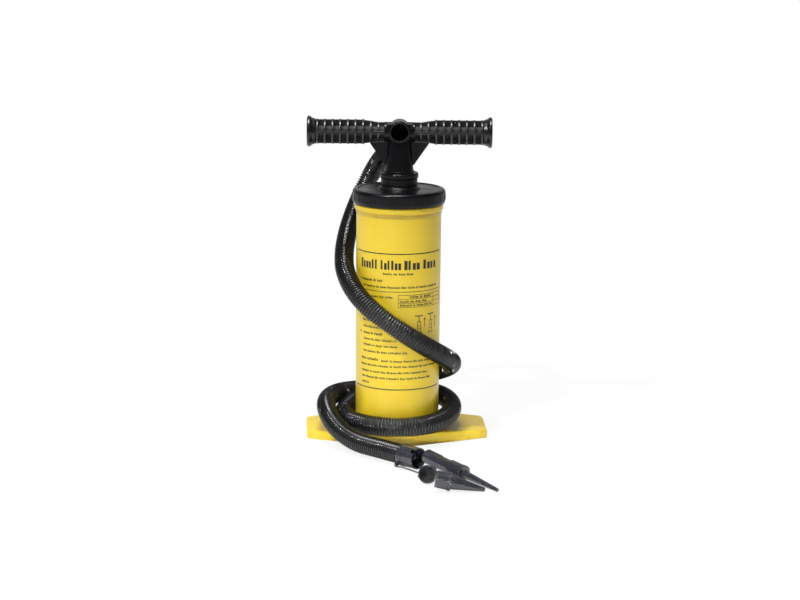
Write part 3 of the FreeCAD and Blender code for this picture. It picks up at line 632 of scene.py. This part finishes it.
def wrapRound(mesh):  # onto the barrel's wall, which widens a little upwards
    (lowZ, lowRadius), (highZ, highRadius) = label["wallLow"], label["wallHigh"]
    for vertex in mesh.vertices:
        wall = lowRadius + (highRadius - lowRadius) * (vertex.co.z - lowZ) / (highZ - lowZ)
        turn = vertex.co.x / wall
        reach = wall + label["clear"]
        vertex.co = (reach * math.sin(turn), -reach * math.cos(turn), vertex.co.z)


def makeLabel():
    deselectAll()
    (firstX, firstZ), *otherBullets = label["bullets"]
    bpy.ops.mesh.primitive_plane_add(size=label["bulletWide"] / 1000,
                                     location=(firstX / 1000, 0, firstZ / 1000), rotation=facing)
    piece = bpy.context.object
    bpy.ops.object.mode_set(mode="EDIT")
    half = label["bulletWide"] / 2
    for x, z in otherBullets:
        addMark(x - half, x + half, z - half, z + half)
    for z, thick, left, right in label["rules"]:
        addMark(left, right, z - thick / 2, z + thick / 2)
    heading = label["heading"]
    for k, (start, end, blocks) in enumerate(heading["words"]):
        addWord(start, end, blocks, heading["bottom"], heading["tall"], heading["step"] * k)
    for row, line in enumerate(label["lines"]):
        addTypeLine(*line, row)
    addTable()
    for place in label["pumps"]:
        addPumpSign(*place)
    for place in label["arrows"]:
        addArrow(*place)
    bpy.ops.mesh.select_all(action="SELECT")
    cut = -label["reach"]
    while cut < label["reach"]:
        bpy.ops.mesh.bisect(plane_co=(cut, 0, 0), plane_no=(1, 0, 0))
        bpy.ops.mesh.select_all(action="SELECT")
        cut += label["cutEvery"]
    bpy.ops.object.mode_set(mode="OBJECT")
    bpy.ops.object.transform_apply(location=True, rotation=True, scale=True)
    wrapRound(piece.data)
    makeActive(piece)
    thicken = piece.modifiers.new("thickness", "SOLIDIFY")
    thicken.thickness = label["thickness"]
    thicken.offset = -1
    bpy.ops.object.modifier_apply(modifier=thicken.name)
    finishPiece(piece, "barrelPrint", "barrel", printInk, label["smoothAngle"])
    print("print made, faces:", len(piece.data.polygons))


makeLabel()


# floor and world: shares of plain white seen directly, in gloss and through clear parts

def whiteSeen(material, seen, mirrored, through):
    ray = addNode(material, "ShaderNodeLightPath").outputs
    direct = multiply(material, ray["Is Camera Ray"], seen)
    inGloss = multiply(material, ray["Is Glossy Ray"], mirrored)
    beyond = multiply(material, ray["Is Transmission Ray"], through)
    return compute(material, "ADD", compute(material, "ADD", direct, inGloss), beyond)


ground = {"wide": 60, "drop": 0.0005, "tint": (0.86, 0.86, 0.86), "roughness": 0.8, "shine": 0.1,
          "seen": (0.35, 1.2, 0.87, 1.0), "mirrored": 0.12, "through": 0.80}  # distances, shares
deselectAll()
bpy.ops.mesh.primitive_plane_add(size=ground["wide"], location=(0, 0, -ground["drop"]))
floor = bpy.context.object
floor.name = "floor"
paleFloor = newMaterial("paleFloor", ground["tint"], ground["roughness"], Specular_IOR_Level=ground["shine"])
whiter = spread(paleFloor, reachFrom(paleFloor, (0, 0, 0)), *ground["seen"])
glow = addNode(paleFloor, "ShaderNodeEmission", Strength=1.0)
blendGlow = addNode(paleFloor, "ShaderNodeMixShader")
wire(paleFloor, whiteSeen(paleFloor, whiter, ground["mirrored"], ground["through"]), blendGlow.inputs["Fac"])
wire(paleFloor, shaderOf(paleFloor).outputs["BSDF"], blendGlow.inputs[1])
wire(paleFloor, glow.outputs["Emission"], blendGlow.inputs[2])
wire(paleFloor, blendGlow.outputs["Shader"], paleFloor.node_tree.nodes["Material Output"].inputs["Surface"])
floor.data.materials.append(paleFloor)

studio = {"fill": 0.11, "seen": 0.89, "through": 0.89, "behind": (0.5, 0.95, 0.0, 0.38)}  # direction, shares
world = bpy.data.worlds.new("studio")
scene.world = world
world.use_nodes = True
sky = world.node_tree.nodes["Background"]
sky.inputs["Color"].default_value = (1, 1, 1, 1)
behind = spread(world, splitPlace(world, "Generated")["Y"], *studio["behind"])
white = whiteSeen(world, studio["seen"], behind, studio["through"])
wire(world, compute(world, "ADD", white, studio["fill"]), sky.inputs["Strength"])

lamps = {  # place, target, width, power, beam in degrees
    "keyLamp": ((-1.73, -2.38, 3.47), (0, 0, 0.2), 0.20, 108, 180),
    "baseLamp": ((-0.3, -2.5, 0.5), (0, 0, -0.02), 0.3, 0.13, 10),
    "topLamp": ((-0.2, -0.3, 3.4), (0, 0, 0.1), 1.3, 103, 180),
}
for name, (place, target, wide, power, beam) in lamps.items():
    lamp = bpy.data.lights.new(name, "AREA")
    lamp.shape = "DISK"
    lamp.size = wide
    lamp.energy = power
    lamp.spread = math.radians(beam)
    holder = bpy.data.objects.new(name, lamp)
    scene.collection.objects.link(holder)
    holder.location = place
    holder.rotation_euler = (Vector(target) - Vector(place)).to_track_quat("-Z", "Y").to_euler()
print("floor and lights made")
